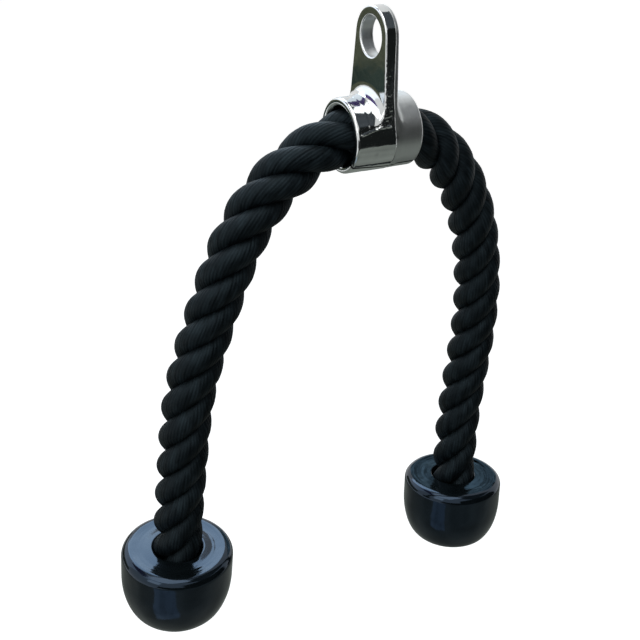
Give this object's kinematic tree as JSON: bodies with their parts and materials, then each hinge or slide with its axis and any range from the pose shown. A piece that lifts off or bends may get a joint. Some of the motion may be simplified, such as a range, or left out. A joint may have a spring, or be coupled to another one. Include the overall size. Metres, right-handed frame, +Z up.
{
  "type": "triceps rope attachment",
  "caption": "Cable machine rope attachment: a thick black rope through a chrome clamp with an eye, with a rubber cap on each hanging end.",
  "frame": {"origin": "centre of the clamp's eye, where the hook of the cable machine bears", "axes": "+X along the eye's hole and the collar, towards the right leg; +Z up; the left leg hangs in the plane Y = 0, the right one bows up to 8 mm back from it, and -Y is towards the picture's camera"},
  "size_m": [0.2689, 0.068, 0.3655],
  "materials": {
    "chrome_casting": "chrome plated casting, glossy, a little rough at the parting line",
    "black_rope": "black synthetic fibre rope with a satin sheen",
    "gloss_rubber": "moulded black rubber, glossy",
    "plated_steel": "zinc plated, satin"
  },
  "bodies": {
    "clamp": {"clamp_casting": "chrome_casting", "rope_in_clamp": "black_rope"},
    "left_neck": {"left_rope_neck": "black_rope"},
    "left_leg": {"left_rope_upper": "black_rope", "left_rope_lower": "black_rope", "left_rope_tail": "black_rope", "left_end_cap": "gloss_rubber", "left_cap_washer": "plated_steel", "left_crimp_ferrule": "plated_steel", "left_cap_plug": "gloss_rubber"},
    "right_neck": {"right_rope_neck": "black_rope"},
    "right_leg": {"right_rope_upper": "black_rope", "right_rope_lower": "black_rope", "right_rope_tail": "black_rope", "right_end_cap": "gloss_rubber", "right_cap_washer": "plated_steel", "right_crimp_ferrule": "plated_steel", "right_cap_plug": "gloss_rubber"}
  },
  "joints": [
    {"name": "left_spread", "type": "hinge", "parent": "clamp", "child": "left_neck", "pos_m": [-0.0586, 0, -0.07252], "axis": [0, 1, 0], "range_deg": [-18, 50], "stiffness_Nm_per_rad": 0.8, "springref_deg": 7.71, "deforming": ["left_rope_neck"]},
    {"name": "left_swing", "type": "hinge", "parent": "left_neck", "child": "left_leg", "pos_m": [-0.09937, 0, -0.15514], "axis": [1, 0, 0], "range_deg": [-40, 40], "stiffness_Nm_per_rad": 0.8, "deforming": ["left_rope_upper"]},
    {"name": "right_spread", "type": "hinge", "parent": "clamp", "child": "right_neck", "pos_m": [0.05547, 0.00113, -0.07689], "axis": [0, -1, 0], "range_deg": [-10, 50], "stiffness_Nm_per_rad": 0.8, "springref_deg": 3.6, "deforming": ["right_rope_neck"]},
    {"name": "right_swing", "type": "hinge", "parent": "right_neck", "child": "right_leg", "pos_m": [0.08755, 0.00592, -0.16287], "axis": [1, 0, 0], "range_deg": [-40, 40], "stiffness_Nm_per_rad": 0.8, "springref_deg": -0.61, "deforming": ["right_rope_upper"]}
  ]
}
